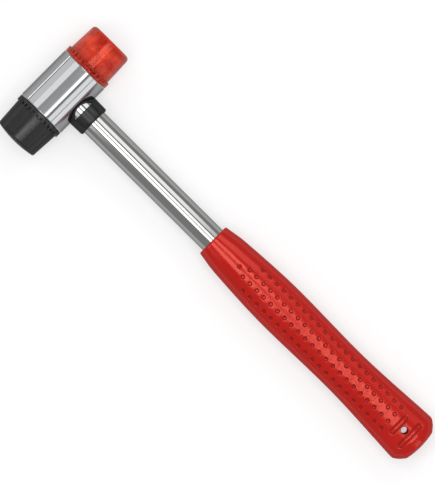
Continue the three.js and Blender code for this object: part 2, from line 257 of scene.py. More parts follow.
def grainGroup():
    # fine surface grain, drawn out along any axis by Stretch
    tree, given, result = newTree("surfaceGrain", "ShaderNodeTree", {
        "Scale": 1000.0, "Stretch": (1, 1, 1), "Detail": 3.0}, {"Height": "Float"})
    place = put(tree, "ShaderNodeTexCoord", out="Object")
    drawn = put(tree, "ShaderNodeMapping", {"Vector": place, "Scale": given["Stretch"]})
    noise = put(tree, "ShaderNodeTexNoise", {
        "Vector": drawn, "Scale": given["Scale"], "Detail": given["Detail"], "Roughness": 0.55})
    tree.links.new(noise, result["Height"])
    return tree


def handlingGroup():
    # roughness of a handled surface: cloudy smears with fine scratches over them
    tree, given, result = newTree("handling", "ShaderNodeTree", {
        "Smear": 60.0, "Scratch": 900.0, "Scratch Share": 0.6, "Low": 0.3, "High": 0.4},
        {"Roughness": "Float", "Smears": "Float"})
    place = put(tree, "ShaderNodeTexCoord", out="Object")
    clouds = put(tree, "ShaderNodeTexNoise", {
        "Vector": place, "Scale": given["Smear"], "Detail": 5.0, "Distortion": 0.6})
    smears = ramp(tree, clouds, low=0.35, high=0.7)
    slant = put(tree, "ShaderNodeMapping", {
        "Vector": place, "Rotation": (0.3, 0.5, 0.9), "Scale": (1, 0.04, 1)})
    streaks = put(tree, "ShaderNodeTexNoise", {"Vector": slant, "Scale": given["Scratch"], "Detail": 2.0})
    scratches = product(tree, ramp(tree, streaks, low=0.66, high=0.74), given["Scratch Share"])
    both = calc(tree, "MAXIMUM", smears, scratches)
    rough = put(tree, "ShaderNodeMapRange", {
        "Value": both, "To Min": given["Low"], "To Max": given["High"]})
    tree.links.new(rough, result["Roughness"])
    tree.links.new(smears, result["Smears"])
    return tree


def edgeWearGroup():
    # rubbed outer edges, broken up by noise
    tree, given, result = newTree("edgeWear", "ShaderNodeTree", {
        "Start": 0.54, "End": 0.62, "Breakup": 700.0}, {"Worn": "Float"})
    place = put(tree, "ShaderNodeTexCoord", out="Object")
    point = put(tree, "ShaderNodeNewGeometry", out="Pointiness")
    noise = put(tree, "ShaderNodeTexNoise", {"Vector": place, "Scale": given["Breakup"], "Detail": 3.0})
    edges = ramp(tree, point, given["Start"], given["End"])
    tree.links.new(product(tree, edges, ramp(tree, noise, low=0.35, high=0.6)), result["Worn"])
    return tree


grainNodes, handlingNodes, wearNodes = grainGroup(), handlingGroup(), edgeWearGroup()


def useGroup(tree, group, inputs):
    node = tree.nodes.new("ShaderNodeGroup")
    node.node_tree = group
    for key, value in inputs.items():
        node.inputs[key].default_value = value
    return node.outputs


def newFinish(name, look):
    # material with the look's fixed values, its grain and the marks of handling
    material = bpy.data.materials.new(name)
    material.use_nodes = True
    tree = material.node_tree
    for key, value in look["fixed"].items():
        tree.nodes["Principled BSDF"].inputs[key].default_value = value
    grain = useGroup(tree, grainNodes, {
        "Scale": look["grain"], "Stretch": look.get("stretch", (1, 1, 1)), "Detail": look["detail"]})
    low, high = look["rough"]
    handled = useGroup(tree, handlingNodes, {"Smear": look["smear"], "Low": low, "High": high})
    return material, tree, grain["Height"], handled


def addBump(tree, height, size, below=None):
    depth, strength = size
    inputs = {"Height": height, "Distance": depth, "Strength": strength}
    if below is not None:
        inputs["Normal"] = below
    return put(tree, "ShaderNodeBump", inputs)


def dress(material, look, colour, rough, height, below=None):
    # what changes over the surface goes to the shader
    tree = material.node_tree
    sockets = tree.nodes["Principled BSDF"].inputs
    normal = addBump(tree, height, look["bump"], below)
    for key, value in (("Base Color", colour), ("Roughness", rough), ("Normal", normal)):
        tree.links.new(value, sockets[key])
    return material


def alongHead(tree):
    return put(tree, "ShaderNodeSeparateXYZ", {0: put(tree, "ShaderNodeTexCoord", out="Object")}, out="X")


def rubbedEdges(tree, look):
    start, end = look["wear"]
    return product(tree, useGroup(tree, wearNodes, {"Start": start, "End": end})["Worn"], look["wearShare"])


flankLook = dict(blend=0.5, start=0.22, end=0.5)


def dullFlanks(tree, rough, look):
    # soft mouldings lose their gloss at a glancing look
    glance = put(tree, "ShaderNodeLayerWeight", {"Blend": flankLook["blend"]}, out="Facing")
    extra = ramp(tree, glance, flankLook["start"], flankLook["end"], 0.0, look["flankRough"])
    return calc(tree, "ADD", rough, extra)


bareMetal = {"Metallic": 1.0, "Specular Tint": (0.4, 0.4, 0.4, 1)}
barrelLook = dict(
    fixed=bareMetal, steel=(0.32, 0.325, 0.33, 1), lines=(0.28, 0.28, 0.285, 1), lineShare=0.25,
    polished=(0.42, 0.42, 0.42, 1), rimStart=0.0162, rimBlend=0.0003, rimRough=0.6,
    grain=2600.0, stretch=(1, 0.02, 0.02), detail=4.0, smear=90.0, rough=(0.08, 0.11), bump=(0.000002, 1.0),
)


def barrelSteel(look):
    # satin steel, turned round the head axis, with polished rims
    material, tree, lines, handled = newFinish("satinSteel", look)
    reach = calc(tree, "ABSOLUTE", alongHead(tree))
    rim = ramp(tree, reach, look["rimStart"], look["rimStart"] + look["rimBlend"])
    shade = mixColour(tree, product(tree, lines, look["lineShare"]), look["steel"], look["lines"])
    colour = mixColour(tree, rim, shade, look["polished"])
    rough = product(tree, handled["Roughness"], ramp(tree, rim, 0, 1, 1, look["rimRough"]))
    return dress(material, look, colour, rough, lines)


tubeLook = dict(
    fixed=bareMetal, chrome=(0.335, 0.335, 0.33, 1), dulled=(0.28, 0.28, 0.28, 1), streaks=(0.45, 0.75),
    streakShare=0.5,
    grain=1500.0, stretch=(1, 0.006, 1), detail=3.0, smear=45.0, rough=(0.085, 0.11), bump=(0.000001, 1.0),
)


def tubeChrome(look):
    # chrome plate with faint drawing lines along the tube
    material, tree, lines, handled = newFinish("chromePlate", look)
    streaks = product(tree, ramp(tree, lines, *look["streaks"]), look["streakShare"])
    colour = mixColour(tree, streaks, look["chrome"], look["dulled"])
    return dress(material, look, colour, handled["Roughness"], lines)


redLook = dict(
    fixed={"Transmission Weight": 0.9, "IOR": 1.49, "Specular IOR Level": 0.45,
           "Specular Tint": (1, 0.35, 0.3, 1)},
    red=(0.93, 0.1, 0.04, 1), deep=(0.4, 0.008, 0.005, 1), shadeToFlange=(0.0285, 0.0205),
    shadeToTip=(0.0305, 0.0365), endShadeShare=0.6, clouds=(0.36, 0.66), grain=125.0, detail=4.0, smear=120.0,
    rough=(0.06, 0.12), flankRough=0.35, bump=(0.00012, 0.5),
)


def clearRed(look):
    # see-through hard plastic, faintly cloudy, with painted shade that deepens its red towards the flange and
    # the tip
    material, tree, cloud, handled = newFinish("clearRed", look)
    place = alongHead(tree)
    # painted shade: the red runs deeper towards the flange and the tip
    ends = calc(tree, "MAXIMUM", ramp(tree, place, *look["shadeToFlange"]), ramp(tree, place, *look["shadeToTip"]))
    depth = calc(tree, "MAXIMUM", product(tree, ends, look["endShadeShare"]), ramp(tree, cloud, *look["clouds"]))
    colour = mixColour(tree, depth, look["red"], look["deep"])
    rough = dullFlanks(tree, handled["Roughness"], look)
    return dress(material, look, colour, rough, cloud)


rubberLook = dict(
    fixed={"Specular IOR Level": 0.42}, black=(0.003, 0.003, 0.0033, 1), smeared=(0.006, 0.006, 0.0065, 1),
    smearShare=0.5, rubbed=(0.03, 0.03, 0.03, 1), wear=(0.53, 0.62), wearShare=0.7, grain=2600.0,
    detail=4.0, smear=130.0, rough=(0.23, 0.29), flankRough=0.5, bump=(0.00005, 0.6),
)

collarLook = dict(
    fixed={"Specular IOR Level": 0.3}, black=(0.009, 0.009, 0.0095, 1), rubbed=(0.03, 0.03, 0.03, 1),
    wear=(0.54, 0.66), wearShare=0.6, grain=3200.0, detail=2.0, smear=150.0, rough=(0.22, 0.3),
    flankRough=0.5, bump=(0.00002, 0.5),
)


def mouldedBlack(name, look):
    # black moulding with rubbed edges, and with smears where the look has them
    material, tree, grain, handled = newFinish(name, look)
    shade = look["black"]
    if "smeared" in look:
        shade = mixColour(tree, product(tree, handled["Smears"], look["smearShare"]), shade, look["smeared"])
    colour = mixColour(tree, rubbedEdges(tree, look), shade, look["rubbed"])
    rough = dullFlanks(tree, handled["Roughness"], look)
    return dress(material, look, colour, rough, grain)


vinylLook = dict(
    fixed={"Specular IOR Level": 1.0, "Specular Tint": (1, 0.25, 0.19, 1), "IOR": 1.5},
    red=(0.44, 0.006, 0.005, 1), faded=(0.48, 0.01, 0.008, 1), fadedShare=0.6,
    # the next colour is painted shade for the dimples and the grooves round the ribs
    paintedShade=(0.17, 0.001, 0.001, 1), sunk=(0.05, 0.5), floor=(0.84, 0.92), shadeShares=(0.85, 0.5),
    wallRough=0.4, flankRough=0.55, wave={"Scale": 150.0, "Stretch": (1, 0.5, 1), "Detail": 2.0},
    waveBump=(0.00012, 0.4), grain=2200.0, detail=3.0, smear=55.0, rough=(0.13, 0.19), bump=(0.00003, 0.5),
)


def gripVinyl(look):
    # soft red vinyl; painted shade darkens the dimples, their walls more than their floors, and the grooves
    # round the ribs; the walls are dull, the floors as glossy as the skin
    material, tree, grain, handled = newFinish("redVinyl", look)
    hollow = put(tree, "ShaderNodeAttribute", attribute_name="hollow", out="Fac")
    sunk = ramp(tree, hollow, *look["sunk"])
    smears = product(tree, handled["Smears"], look["fadedShare"])
    shade = mixColour(tree, smears, look["red"], look["faded"])
    # painted shade in the dimples, stronger on their walls than their floors, and in the ribs' grooves
    paintedShade = product(tree, sunk, ramp(tree, hollow, *look["floor"], *look["shadeShares"]))
    colour = mixColour(tree, paintedShade, shade, look["paintedShade"])
    walls = product(tree, sunk, ramp(tree, hollow, *look["floor"], look["wallRough"], 0.0))
    rough = dullFlanks(tree, calc(tree, "ADD", handled["Roughness"], walls), look)
    waves = addBump(tree, useGroup(tree, grainNodes, look["wave"])["Height"], look["waveBump"])
    return dress(material, look, colour, rough, grain, below=waves)


shotLook = dict(
    fixed={"Metallic": 1.0}, steel=(0.46, 0.46, 0.47, 1), stained=(0.30, 0.29, 0.28, 1), stains=(0.4, 0.7),
    grain=900.0, detail=4.0, smear=300.0, rough=(0.22, 0.4), bump=(0.00001, 0.4),
)


def shotSteel(look):
    # hardened shot and pressed discs, slightly oiled
    material, tree, grain, handled = newFinish("shotSteel", look)
    colour = mixColour(tree, ramp(tree, grain, *look["stains"]), look["steel"], look["stained"])
    return dress(material, look, colour, handled["Roughness"], grain)


plugLook = dict(
    fixed={"Specular IOR Level": 0.4}, dark=(0.035, 0.037, 0.04, 1), pale=(0.06, 0.062, 0.066, 1),
    grain=1800.0, detail=3.0, smear=200.0, rough=(0.45, 0.6), bump=(0.00003, 0.5),
)


def plugPlastic(look):
    material, tree, grain, handled = newFinish("plugPlastic", look)
    colour = mixColour(tree, grain, look["dark"], look["pale"])
    return dress(material, look, colour, handled["Roughness"], grain)


satinSteel, chromePlate, redPlastic = barrelSteel(barrelLook), tubeChrome(tubeLook), clearRed(redLook)
rubberBlack, plasticBlack = mouldedBlack("blackRubber", rubberLook), mouldedBlack("collarBlack", collarLook)
redVinyl, greySteel, greyPlug = gripVinyl(vinylLook), shotSteel(shotLook), plugPlastic(plugLook)
print("finishes ready")


# geometry node trees

def newShape(name, sizes):
    inputs = {"Geometry": "Geometry", **sizes, "Finish": "Material"}
    return newTree(name, "GeometryNodeTree", inputs, {"Geometry": "Geometry"})


def closeShape(tree, geometry, given, result):
    solid = put(tree, "GeometryNodeRealizeInstances", {"Geometry": geometry})
    dressed = put(tree, "GeometryNodeSetMaterial", {"Geometry": solid, "Material": given["Finish"]})
    tree.links.new(dressed, result["Geometry"])
    return tree


def aroundHead(tree):
    # place along the head axis, radius, turn as a share of one round, and the outward direction
    position = put(tree, "GeometryNodeInputPosition")
    parts = put(tree, "ShaderNodeSeparateXYZ", {0: position}, out=None).outputs
    flat = put(tree, "ShaderNodeCombineXYZ", {"X": 0.0, "Y": parts["Y"], "Z": parts["Z"]})
    radius = put(tree, "ShaderNodeVectorMath", {0: flat}, operation="LENGTH", out="Value")
    share = calc(tree, "DIVIDE", calc(tree, "ARCTAN2", parts["Y"], parts["Z"]), 2 * pi)
    outward = put(tree, "ShaderNodeVectorMath", {0: flat}, operation="NORMALIZE")
    return parts["X"], radius, share, outward


def moveOut(tree, geometry, outward, amount):
    offset = put(tree, "ShaderNodeVectorMath", {0: outward, "Scale": amount}, operation="SCALE")
    return put(tree, "GeometryNodeSetPosition", {"Geometry": geometry, "Offset": offset})


def threadTree():
    # right-hand screw thread on what lies within a radius
    tree, given, result = newShape("screwThread", {
        "Pitch": 1.5, "Depth": 0.6, "Start": 0.0, "End": 6.0, "Within": 13.0, "Fade": 0.6})
    place, radius, share, outward = aroundHead(tree)
    along = calc(tree, "ADD", calc(tree, "DIVIDE", place, given["Pitch"]), share)
    crest = ramp(tree, calc(tree, "PINGPONG", along, 0.5), low=0.12, high=0.38)
    reach = calc(tree, "ABSOLUTE", place)
    runIn = ramp(tree, reach, given["Start"], calc(tree, "ADD", given["Start"], given["Fade"]))
    runOut = ramp(tree, reach, given["End"], calc(tree, "SUBTRACT", given["End"], given["Fade"]))
    inside = calc(tree, "LESS_THAN", radius, given["Within"])
    amount = product(tree, given["Depth"], crest, runIn, runOut, inside)
    return closeShape(tree, moveOut(tree, given["Geometry"], outward, amount), given, result)


def notchTree():
    # grip notches round a flange, open towards the nose
    tree, given, result = newShape("flangeNotches", {
        "Count": 32.0, "Width": 1.4, "Start": 2.0, "Floor": 13.8, "Softness": 0.14, "Sink": 0.96})
    soft = given["Softness"]
    place, radius, share, outward = aroundHead(tree)
    apart = calc(tree, "PINGPONG", product(tree, share, given["Count"]), 0.5)
    arc = calc(tree, "DIVIDE", product(tree, apart, product(tree, radius, 2 * pi)), given["Count"])
    half = calc(tree, "DIVIDE", given["Width"], 2.0)
    across = ramp(tree, arc, calc(tree, "ADD", half, soft), calc(tree, "SUBTRACT", half, soft))
    along = ramp(tree, place, calc(tree, "SUBTRACT", given["Start"], soft),
                 calc(tree, "ADD", given["Start"], soft))
    depth = calc(tree, "MAXIMUM", calc(tree, "SUBTRACT", radius, given["Floor"]), 0.0)
    amount = product(tree, across, along, depth, given["Sink"], -1.0)
    return closeShape(tree, moveOut(tree, given["Geometry"], outward, amount), given, result)


def dimpleTree():
    # dimple cells on a square pitch, starting in a point; drawn flat, with depth along Z
    tree, given, result = newShape("dimplePlan", {"Pitch": 5.27, "Rows": 23, "Columns": 4, "Spare": 0.25})
    pitch = given["Pitch"]
    width = product(tree, calc(tree, "SUBTRACT", given["Columns"], 1.0), pitch)
    length = product(tree, calc(tree, "SUBTRACT", given["Rows"], 1.0), pitch)
    grid = put(tree, "GeometryNodeMeshGrid", {
        "Size X": width, "Size Y": length, "Vertices X": given["Columns"], "Vertices Y": given["Rows"]})
    shift = put(tree, "ShaderNodeCombineXYZ", {"Y": calc(tree, "DIVIDE", length, 2.0)})
    field = put(tree, "GeometryNodeSetPosition", {"Geometry": grid, "Offset": shift})
    position = put(tree, "GeometryNodeInputPosition")
    parts = put(tree, "ShaderNodeSeparateXYZ", {0: position}, out=None).outputs
    room = calc(tree, "ADD", parts["Y"], product(tree, pitch, given["Spare"]))
    outside = calc(tree, "GREATER_THAN", calc(tree, "ABSOLUTE", parts["X"]), room)
    field = put(tree, "GeometryNodeDeleteGeometry", {"Geometry": field, "Selection": outside}, domain="POINT")
    apex = put(tree, "GeometryNodeMeshLine", {"Count": 1})
    points = tree.nodes.new("GeometryNodeJoinGeometry")
    for part in (field, apex):
        tree.links.new(part, points.inputs[0])
    cells = put(tree, "GeometryNodeInstanceOnPoints", {
        "Points": points.outputs[0], "Instance": given["Geometry"]})
    return closeShape(tree, cells, given, result)


def shotTree():
    # one ball on each point
    tree, given, result = newShape("looseShot", {"Diameter": 4.5, "Fineness": 4})
    ball = put(tree, "GeometryNodeMeshIcoSphere", {
        "Radius": calc(tree, "DIVIDE", given["Diameter"], 2.0), "Subdivisions": given["Fineness"]})
    balls = put(tree, "GeometryNodeInstanceOnPoints", {"Points": given["Geometry"], "Instance": ball})
    return closeShape(tree, balls, given, result)


screwThread, flangeNotches, dimplePlan, looseShot = threadTree(), notchTree(), dimpleTree(), shotTree()
print("node trees ready")


# screw thread of the barrel and the faces

thread = dict(pitch=1.5, depth=0.6, step=0.18)


def threadRows(start, end):
    # stations close enough together to carry the thread
    return [start + thread["step"] * i for i in range(int((end - start) / thread["step"]))]


def threaded(mesh, start, end, within, finish):
    return runNodes(mesh, screwThread, {
        "Pitch": thread["pitch"], "Depth": thread["depth"], "Start": start, "End": end, "Within": within,
        "Finish": finish})


# head barrel

barrel = dict(
    radius=15.0, half=16.75, rim=0.5, mouth=12.25, mouthLength=0.5, mouthFlare=0.6, chamber=10.5,
    shoulder=8.85, outerRow=9.2, threadGap=1.2, threadStart=1.0, threadEnd=0.35, threadWithin=12.6,
    flareRound=0.12, mouthRound=0.1, shoulderRound=0.15, sides=144,
    tubeHole=7.9, holeDepth=20.0, holeSides=72,
)


def makeBarrel(b):
    half, radius, mouth, shoulder = b["half"], b["radius"], b["mouth"], b["shoulder"]
    mouthStart = half - b["mouthLength"]
    quarter = [(b["outerRow"], radius, 0), (half, radius, b["rim"]),
               (half, mouth + b["mouthFlare"], b["flareRound"]), (mouthStart, mouth, b["mouthRound"])]
    quarter += [(x, mouth, 0) for x in reversed(threadRows(shoulder + b["threadGap"], mouthStart))]
    quarter += [(shoulder, mouth, b["mouthRound"]), (shoulder, b["chamber"], b["shoulderRound"])]
    corners = quarter + [(-x, r, f) for x, r, f in reversed(quarter)]
    profile = filleted(corners, closed=True, steps=4)
    mesh = makeMesh("barrel", *turned(profile, evenTurns(b["sides"]), closed=True))
    mesh = threaded(mesh, shoulder + b["threadStart"], half - b["threadEnd"], b["threadWithin"], satinSteel)
    deep, wide = -b["holeDepth"], b["tubeHole"]
    knife = turned([(deep, 0), (deep, wide), (0, wide), (0, 0)], evenTurns(b["holeSides"]), axis="Y")
    mesh = cutBy(mesh, makeMesh("knife", *knife))
    return settle("headBarrel", mesh, satinSteel, "hammer_body", "barrel_steel", "head_barrel")


makeBarrel(barrel)


# screw-in faces

face = dict(
    seat=16.95, reach=20.9,
    spigotLength=6.0, threadRoot=11.45, threadFrom=0.75, threadTo=0.9, threadEnd=0.3, threadWithin=12.0,
    tipDrop=0.4, tipLength=0.6, tipRound=0.15, neckStart=0.8, neckLength=0.6, neckDrop=0.25, bendRound=0.1,
    flange=14.85, flangeLength=3.4, flangeRow=0.9, flangeRound=0.18, baseRound=0.12,
    notches=32, notchWidth=1.4, notchLength=1.4, notchSoft=0.16, notchRows=(0.1, 0.2),
    notchTurns=(0.008, 0.02),
)
redNose = dict(side=1, base=13.75, tip=13.05, corner=2.2, crown=0.0, rings=(6.0, 0.0), notchFloor=14.1)
blackNose = dict(
    side=-1, base=14.0, tip=13.0, corner=1.2, crown=1.4, rings=(10.4, 7.8, 5.2, 2.6, 0.0), notchFloor=14.03,
)


def makeFace(name, f, nose, finish, body, slot, node):
    length, root, flange = f["spigotLength"], f["threadRoot"], f["flange"]
    bend, neck = f["bendRound"], root - f["neckDrop"]
    reach, crown, tip = f["reach"], nose["crown"], nose["tip"]
    end = f["flangeLength"]
    step = end - f["notchLength"]
    near, far = f["notchRows"]
    corners = [(-length, 0, 0), (-length, root - f["tipDrop"], f["tipRound"]),
               (-length + f["tipLength"], root, bend)]
    corners += [(x, root, 0) for x in threadRows(-length + f["threadFrom"], -f["threadTo"])]
    corners += [(-f["neckStart"], root, bend), (-f["neckLength"], neck, bend), (0, neck, bend)]
    corners += [(0, flange, f["flangeRound"])]
    rows = (f["flangeRow"], step - far, step - near, step, step + near, step + far)
    corners += [(x, flange, 0) for x in rows]
    corners += [(end, flange, f["flangeRound"]), (end, nose["base"], f["baseRound"])]
    corners += [(reach - crown, tip, nose["corner"])]
    corners += [(reach - crown * (ring / tip) ** 2, ring, 0) for ring in nose["rings"]]
    # turns lie close together at the notches' edges
    pitch = 2 * pi / f["notches"]
    half = f["notchWidth"] / 2 / flange
    near, far = f["notchTurns"]
    offsets = [0, half - far, half - near, half, half + near, half + far, pitch / 2]
    spread = offsets + [pitch - o for o in offsets[-2:0:-1]]
    turns = [i * pitch + o for i in range(f["notches"]) for o in spread]
    mesh = runNodes(makeMesh(name, *turned(filleted(corners), turns)), flangeNotches, {
        "Count": f["notches"], "Width": f["notchWidth"], "Start": step, "Floor": nose["notchFloor"],
        "Softness": f["notchSoft"], "Finish": finish})
    mesh = threaded(mesh, f["threadFrom"], length - f["threadEnd"], f["threadWithin"], finish)
    setOnSide(mesh, nose["side"], f["seat"])
    return settle(name, mesh, finish, body, slot, node, sharp=50)


makeFace("redFace", face, redNose, redPlastic, "red_face_body", "red_face_plastic", "red_face")
makeFace("blackFace", face, blackNose, rubberBlack, "black_face_body", "black_face_rubber", "black_face")


# shot and its discs

disc = dict(
    middle=9.9, thickness=1.5, radius=12.0, chamfer=0.3, grooves=(10.0, 7.0, 4.0), grooveDepth=0.12,
    grooveHalf=0.3, lipRound=0.05, grooveRound=0.1, sides=96,
)


def makeDisc(name, d, side, node):
    half, wide, lip = d["thickness"] / 2, d["grooveHalf"], d["lipRound"]
    corners = [(-half, 0, 0), (-half, d["radius"], d["chamfer"]), (half, d["radius"], d["chamfer"])]
    for r in d["grooves"]:
        corners += [(half, r + wide, lip), (half - d["grooveDepth"], r, d["grooveRound"])]
        corners += [(half, r - wide, lip)]
    corners += [(half, 0, 0)]
    mesh = makeMesh(name, *turned(filleted(corners, steps=3, guard=0.03), evenTurns(d["sides"])))
    setOnSide(mesh, side, d["middle"])
    return settle(name, mesh, greySteel, "hammer_body", "shot_steel", node)


makeDisc("redShotDisc", disc, 1, "red_shot_disc")
makeDisc("blackShotDisc", disc, -1, "black_shot_disc")

shot = dict(diameter=4.5, fineness=4)


def makeShot(s):
    names = sorted(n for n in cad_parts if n.startswith("shot_"))
    toHammer = hammerFrame.inverted()
    centres = [toHammer @ ((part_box(n)[0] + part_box(n)[1]) / 2) for n in names]
    mesh = runNodes(rawMesh("points", centres, []), looseShot, {
        "Diameter": s["diameter"], "Fineness": s["fineness"], "Finish": greySteel})
    return settle("looseShot", mesh, greySteel, "shot_charge", "shot_steel", *names)


makeShot(shot)


# handle tube and its plug

tube = dict(
    radius=7.7, bore=6.5, chamber=10.5, sides=128, bead=9.1, beadSeat=15.25, beadEnd=17.4, beadTaper=0.8,
    stations=(24.0, 60.0, 114.0, 180.0, 244.6),
)
plug = dict(radius=6.3, length=6.0, chamfer=0.4, tip=0.94, rings=(0.25, 0.5, 0.75, 1.0), sides=64)


def coped(radius, chamber, turn):
    return -sqrt(chamber ** 2 - (radius * cos(turn)) ** 2)


def copedRings(rows, turns):
    # rows of radius, chamber radius and station; a ring with a chamber radius follows that wall
    return [(radius * sin(a), coped(radius, chamber, a) if chamber else station, radius * cos(a))
            for radius, chamber, station in rows for a in turns]


def makeTube(t):
    # the head end follows the chamber's wall, and a bead under the collar follows the barrel's skin
    radius, bead, seat, beadEnd = t["radius"], t["bead"], t["beadSeat"], -t["beadEnd"]
    rows = [(radius, t["chamber"], 0), (radius, seat, 0), (bead, seat, 0), (bead, 0, beadEnd),
            (radius, 0, beadEnd - t["beadTaper"])]
    rows += [(radius, 0, -y) for y in t["stations"]]
    rows += [(t["bore"], 0, -y) for y in reversed(t["stations"])] + [(t["bore"], t["chamber"], 0)]
    starts = [k * t["sides"] for k in range(len(rows))] + [0]
    mesh = makeMesh("tube", copedRings(rows, evenTurns(t["sides"])), stackFaces(starts, t["sides"]))
    return settle("handleTube", mesh, chromePlate, "hammer_body", "tube_chrome", "handle_tube")


def makePlug(p, chamber):
    radius, sides, end = p["radius"], p["sides"], -chamber - p["length"]
    rows = [(radius * share, chamber, 0) for share in p["rings"]]
    rows += [(radius, 0, end + p["chamfer"]), (radius * p["tip"], 0, end)]
    starts = [k * sides for k in range(len(rows))]
    faces = stackFaces(starts, sides)
    faces += [list(range(start, start + sides)) for start in (starts[0], starts[-1])]
    mesh = makeMesh("plug", copedRings(rows, evenTurns(sides)), faces)
    return settle("tubePlug", mesh, greyPlug, "hammer_body", "plug_plastic", "tube_plug")


makeTube(tube)
makePlug(plug, tube["chamber"])


# collar

collar = dict(
    radius=9.65, foot=9.45, taperStart=-15.0, bore=7.9, recess=9.2, recessEnd=-17.5, recessTaper=0.8,
    end=-24.0, footRound=1.0, footSteps=6, saddle=15.15, windowHalf=6.9, windowHeight=3.4, windowEnd=0.3,
    windowSteps=9, sill=-15.95, flankSteps=6, wallRows=(-17.0, -18.5, -20.0, -21.5), boreRow=-20.0,
    edge=0.14, edgeSteps=3, edgeAngle=38,
)


def makeCollar(c):
    wide, recess, sill = c["radius"], c["recess"], c["sill"]
    rise = c["windowHeight"] - c["windowEnd"]
    arcRadius = (c["windowHalf"] ** 2 + rise ** 2) / (2 * rise)
    arcCentre = sill + c["windowHeight"] - arcRadius
    # one quarter from +Z to +X: window columns at equal steps of x, then the flank
    steps = [c["windowHalf"] * k / c["windowSteps"] for k in range(c["windowSteps"] + 1)]
    quarter = [(asin(x / wide), asin(x / recess), True) for x in steps]
    outerEdge, innerEdge = quarter[-1][:2]
    for k in range(1, c["flankSteps"] + 1):
        outer = outerEdge + (pi / 2 - outerEdge) * k / c["flankSteps"]
        quarter.append((outer, innerEdge + (pi / 2 - innerEdge) * k / c["flankSteps"], False))
    half = quarter + [(pi - o, pi - i, w) for o, i, w in quarter[-2::-1]]
    columns = half + [(o + pi, i + pi, w) for o, i, w in half[1:-1]]

    def wallRadius(y):
        return wide + (c["foot"] - wide) * clamped((c["taperStart"] - y) / (c["taperStart"] - c["end"]))

    def at(radius, turn, y):
        return (radius * sin(turn), y, radius * cos(turn))

    def column(outer, inner, isWindow):
        # points from the saddle's bore edge over the outer wall, round the foot and back up the bore
        x = wide * sin(outer)
        arc = arcCentre + sqrt(arcRadius ** 2 - x ** 2) if isWindow else sill + c["windowEnd"]
        top = coped(wide, c["saddle"], outer)
        path = []
        for share in (0, 0.5):
            radius, turn = recess + (wide - recess) * share, inner + (outer - inner) * share
            path.append(at(radius, turn, coped(radius, c["saddle"], turn)))
        path += [at(wide, outer, top + (arc - top) * share) for share in (0, 0.5, 1)]
        path += [at(wide, outer, sill)]
        path += [at(wallRadius(y), outer, y) for y in (*c["wallRows"], c["end"] + c["footRound"])]
        for k in range(1, c["footSteps"] + 1):
            turn = k / c["footSteps"] * pi / 2
            radius = c["foot"] - c["footRound"] * (1 - cos(turn))
            path.append(at(radius, outer, c["end"] + c["footRound"] * (1 - sin(turn))))
        path += [at(c["bore"], inner, y) for y in (c["end"], c["boreRow"], c["recessEnd"] - c["recessTaper"])]
        path += [at(recess, inner, y) for y in (c["recessEnd"], sill, arc)]
        return path

    paths = [column(*col) for col in columns]
    count, length = len(columns), len(paths[0])
    outerArc, innerSill = 4, length - 2
    faces = []
    for k in range(count):
        n = (k + 1) % count
        isOpen = columns[k][2] and columns[n][2]
        for row in range(length):
            if isOpen and row in (outerArc, innerSill):
                continue
            after = (row + 1) % length
            faces.append([k * length + row, n * length + row, n * length + after, k * length + after])
        if isOpen:   # the window's upper and lower reveals
            for a, b in ((outerArc, length - 1), (outerArc + 1, innerSill)):
                faces.append([k * length + a, n * length + a, n * length + b, k * length + b])
        for one, two in ((k, n), (n, k)):
            if columns[one][2] and not columns[two][2]:   # the window's ends
                faces.append([one * length + i for i in (outerArc, outerArc + 1, innerSill, length - 1)])
    piece = addObject("work", makeMesh("collar", [point for path in paths for point in path], faces))
    bevel = piece.modifiers.new("edges", "BEVEL")
    bevel.width, bevel.segments = c["edge"], c["edgeSteps"]
    bevel.limit_method, bevel.angle_limit = "ANGLE", radians(c["edgeAngle"])
    mesh = baked(piece)
    return settle("tubeCollar", mesh, plasticBlack, "hammer_body", "collar_plastic", "collar", sharp=60)


makeCollar(collar)


# grip

grip = dict(
    top=114.6, length=159.4, topRound=0.8, topSteps=5, bore=7.9, boreDepth=130.2, boreEdge=0.25,
    roundness=2.2, topRoundness=2.0, roundFrom=15.0, roundOver=55.0,
    widths=((0, 20.0), (13, 23.8), (53, 27.5), (99, 26.0), (152.7, 30.8)),
    thicknesses=((0, 19.4), (13, 20.6), (53, 22.0), (99, 20.8), (152.7, 22.0)),
    shoulder=152.7, shoulderRound=4.0, shoulderRun=4.0, chamferLength=5.6, chamferDepth=5.4, chamferRound=3.0,
    bulge=0.4, bulgeRound=8.0, crown=1.1, crownShares=(0.72, 0.5, 0.3, 0.12),
    flankSteps=16, split=4, fineSplit=16, fineGap=0.5, plainRows=14, gapRows=16, weld=0.004,
)
dimple = dict(
    pitch=5.27, rows=23, columns=4, first=20.4, radius=1.12, depth=0.82,
    rings=((1.36, 0.0), (1.14, 0.03), (0.96, 0.42), (0.76, 0.88), (0.64, 0.95), (0.52, 0.96)),
)
hang = dict(place=146.3, radius=2.05, lip=((0.45, 0), (0.1575, -0.1), (0.08, -0.3), (0, -0.6)))
# the grooves round the ribs get painted shade through the hollow mark
rib = dict(offset=4.2, height=0.6, half=0.8, lengths=(11.8, 16.0), groove=0.35, grooveWidth=1.05, paintedShade=0.5)


